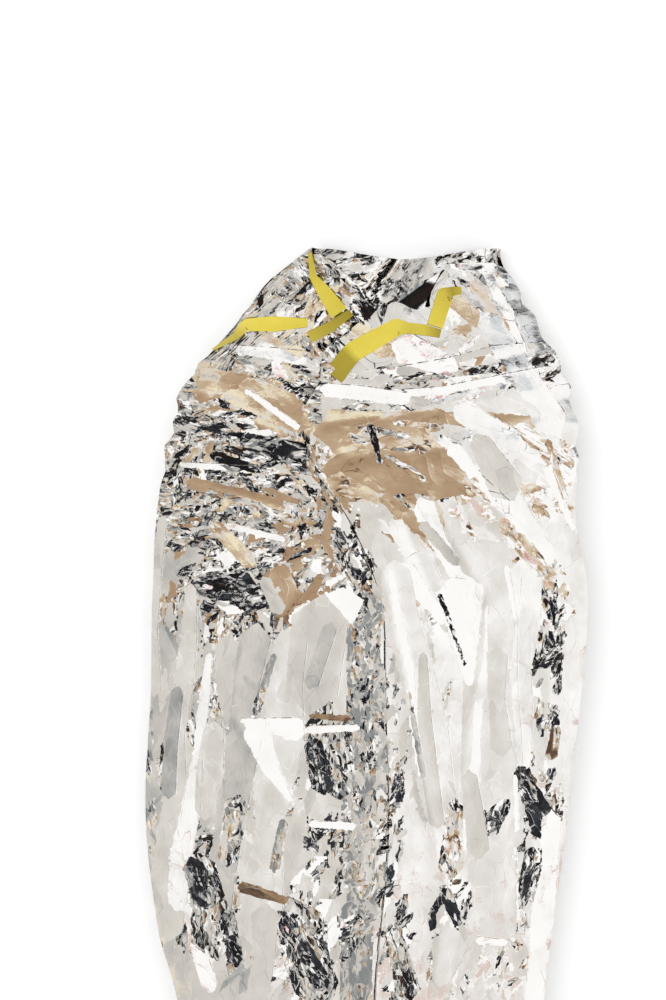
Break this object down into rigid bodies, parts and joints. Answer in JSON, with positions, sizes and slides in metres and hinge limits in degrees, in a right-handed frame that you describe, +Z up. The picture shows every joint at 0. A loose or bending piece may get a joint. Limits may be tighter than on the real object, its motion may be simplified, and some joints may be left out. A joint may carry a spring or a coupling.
{
  "type": "emergency sleeping bag",
  "caption": "Long pleated bag of silvered film, laid flat on its back, open at the gathered mouth, closed at the foot, with yellow tape along the mouth.",
  "frame": {"origin": "middle of the bag's outline, on the floor", "axes": "+Y along the bag towards its mouth, +Z up out of its front"},
  "size_m": [0.4796, 2.1004, 0.1006],
  "materials": {
    "front_film": "thin plastic film with a mirror-bright silver coating, creased in small flat facets",
    "back_film": "thin plastic film with a mirror-bright silver coating, creased in small flat facets",
    "tape": "satin yellow plastic tape"
  },
  "bodies": {
    "root": {"front_panel": "front_film", "back_panel": "back_film", "tape_left_shoulder": "tape", "tape_left_lower": "tape", "tape_left_neck": "tape", "tape_right": "tape", "tape_right_neck": "tape"}
  },
  "joints": []
}
